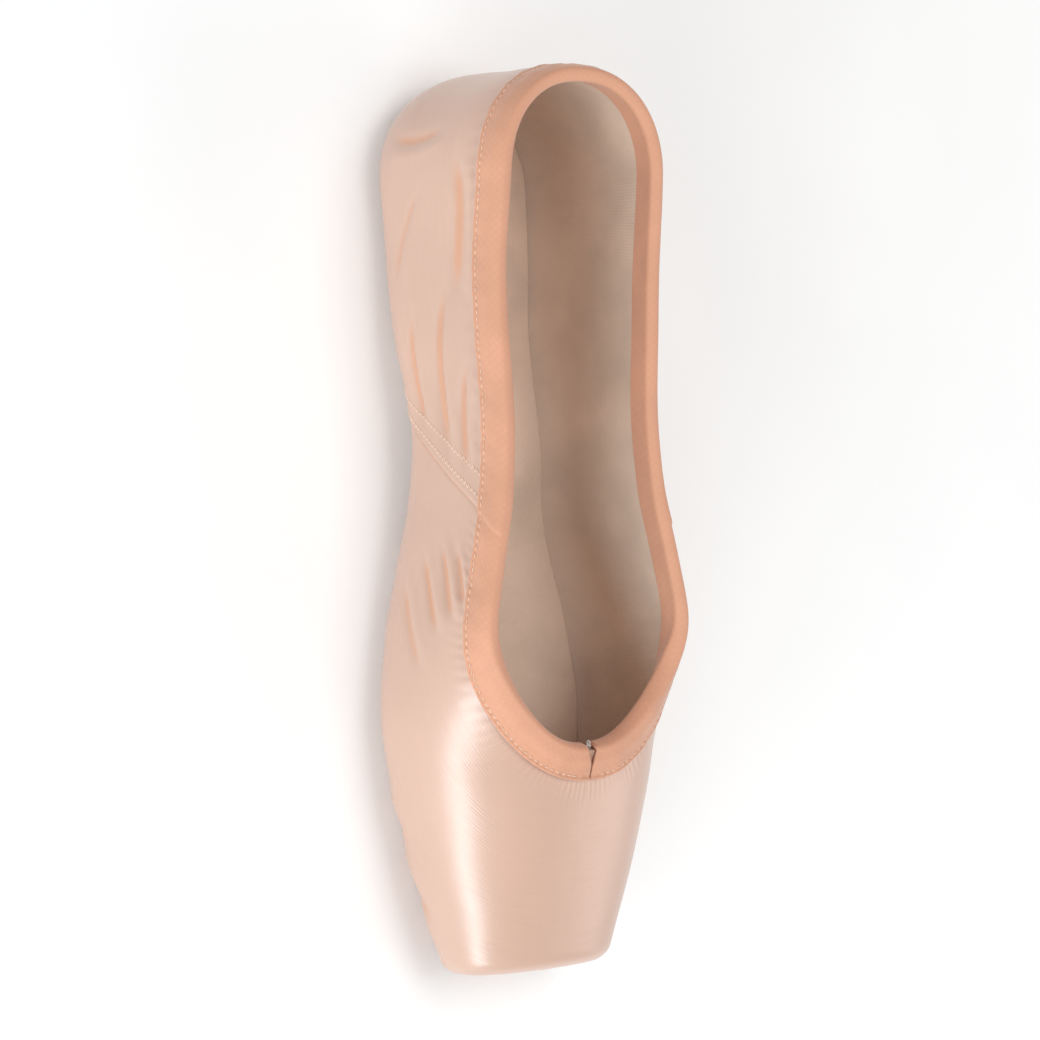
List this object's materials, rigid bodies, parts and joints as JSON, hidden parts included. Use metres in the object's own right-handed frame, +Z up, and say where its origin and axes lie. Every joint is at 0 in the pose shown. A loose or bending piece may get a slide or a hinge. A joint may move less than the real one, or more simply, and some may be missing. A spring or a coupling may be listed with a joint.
{
  "type": "pointe shoe",
  "caption": "Satin pointe shoe with a hollow stiffened toe box, flat platform, low collar with bound edge, side seams and a narrow leather outsole.",
  "frame": {"origin": "on the floor, under the middle of the shoe's bounding box", "axes": "+Z up, the heel towards +Y, the toe's flat platform facing -Y, X across the shoe"},
  "size_m": [0.078, 0.235, 0.0582],
  "materials": {
    "satin": "glossy satin weave, peach pink",
    "sole_leather": "matte buffed split leather, scuffed",
    "lining_cotton": "matte plain cotton",
    "binding_tape": "matte folded bias tape, warm peach",
    "cord": "matte twisted cotton"
  },
  "bodies": {
    "root": {"upper": "satin", "outsole": "sole_leather", "insole": "lining_cotton", "binding": "binding_tape", "drawstring": "cord"}
  },
  "joints": []
}
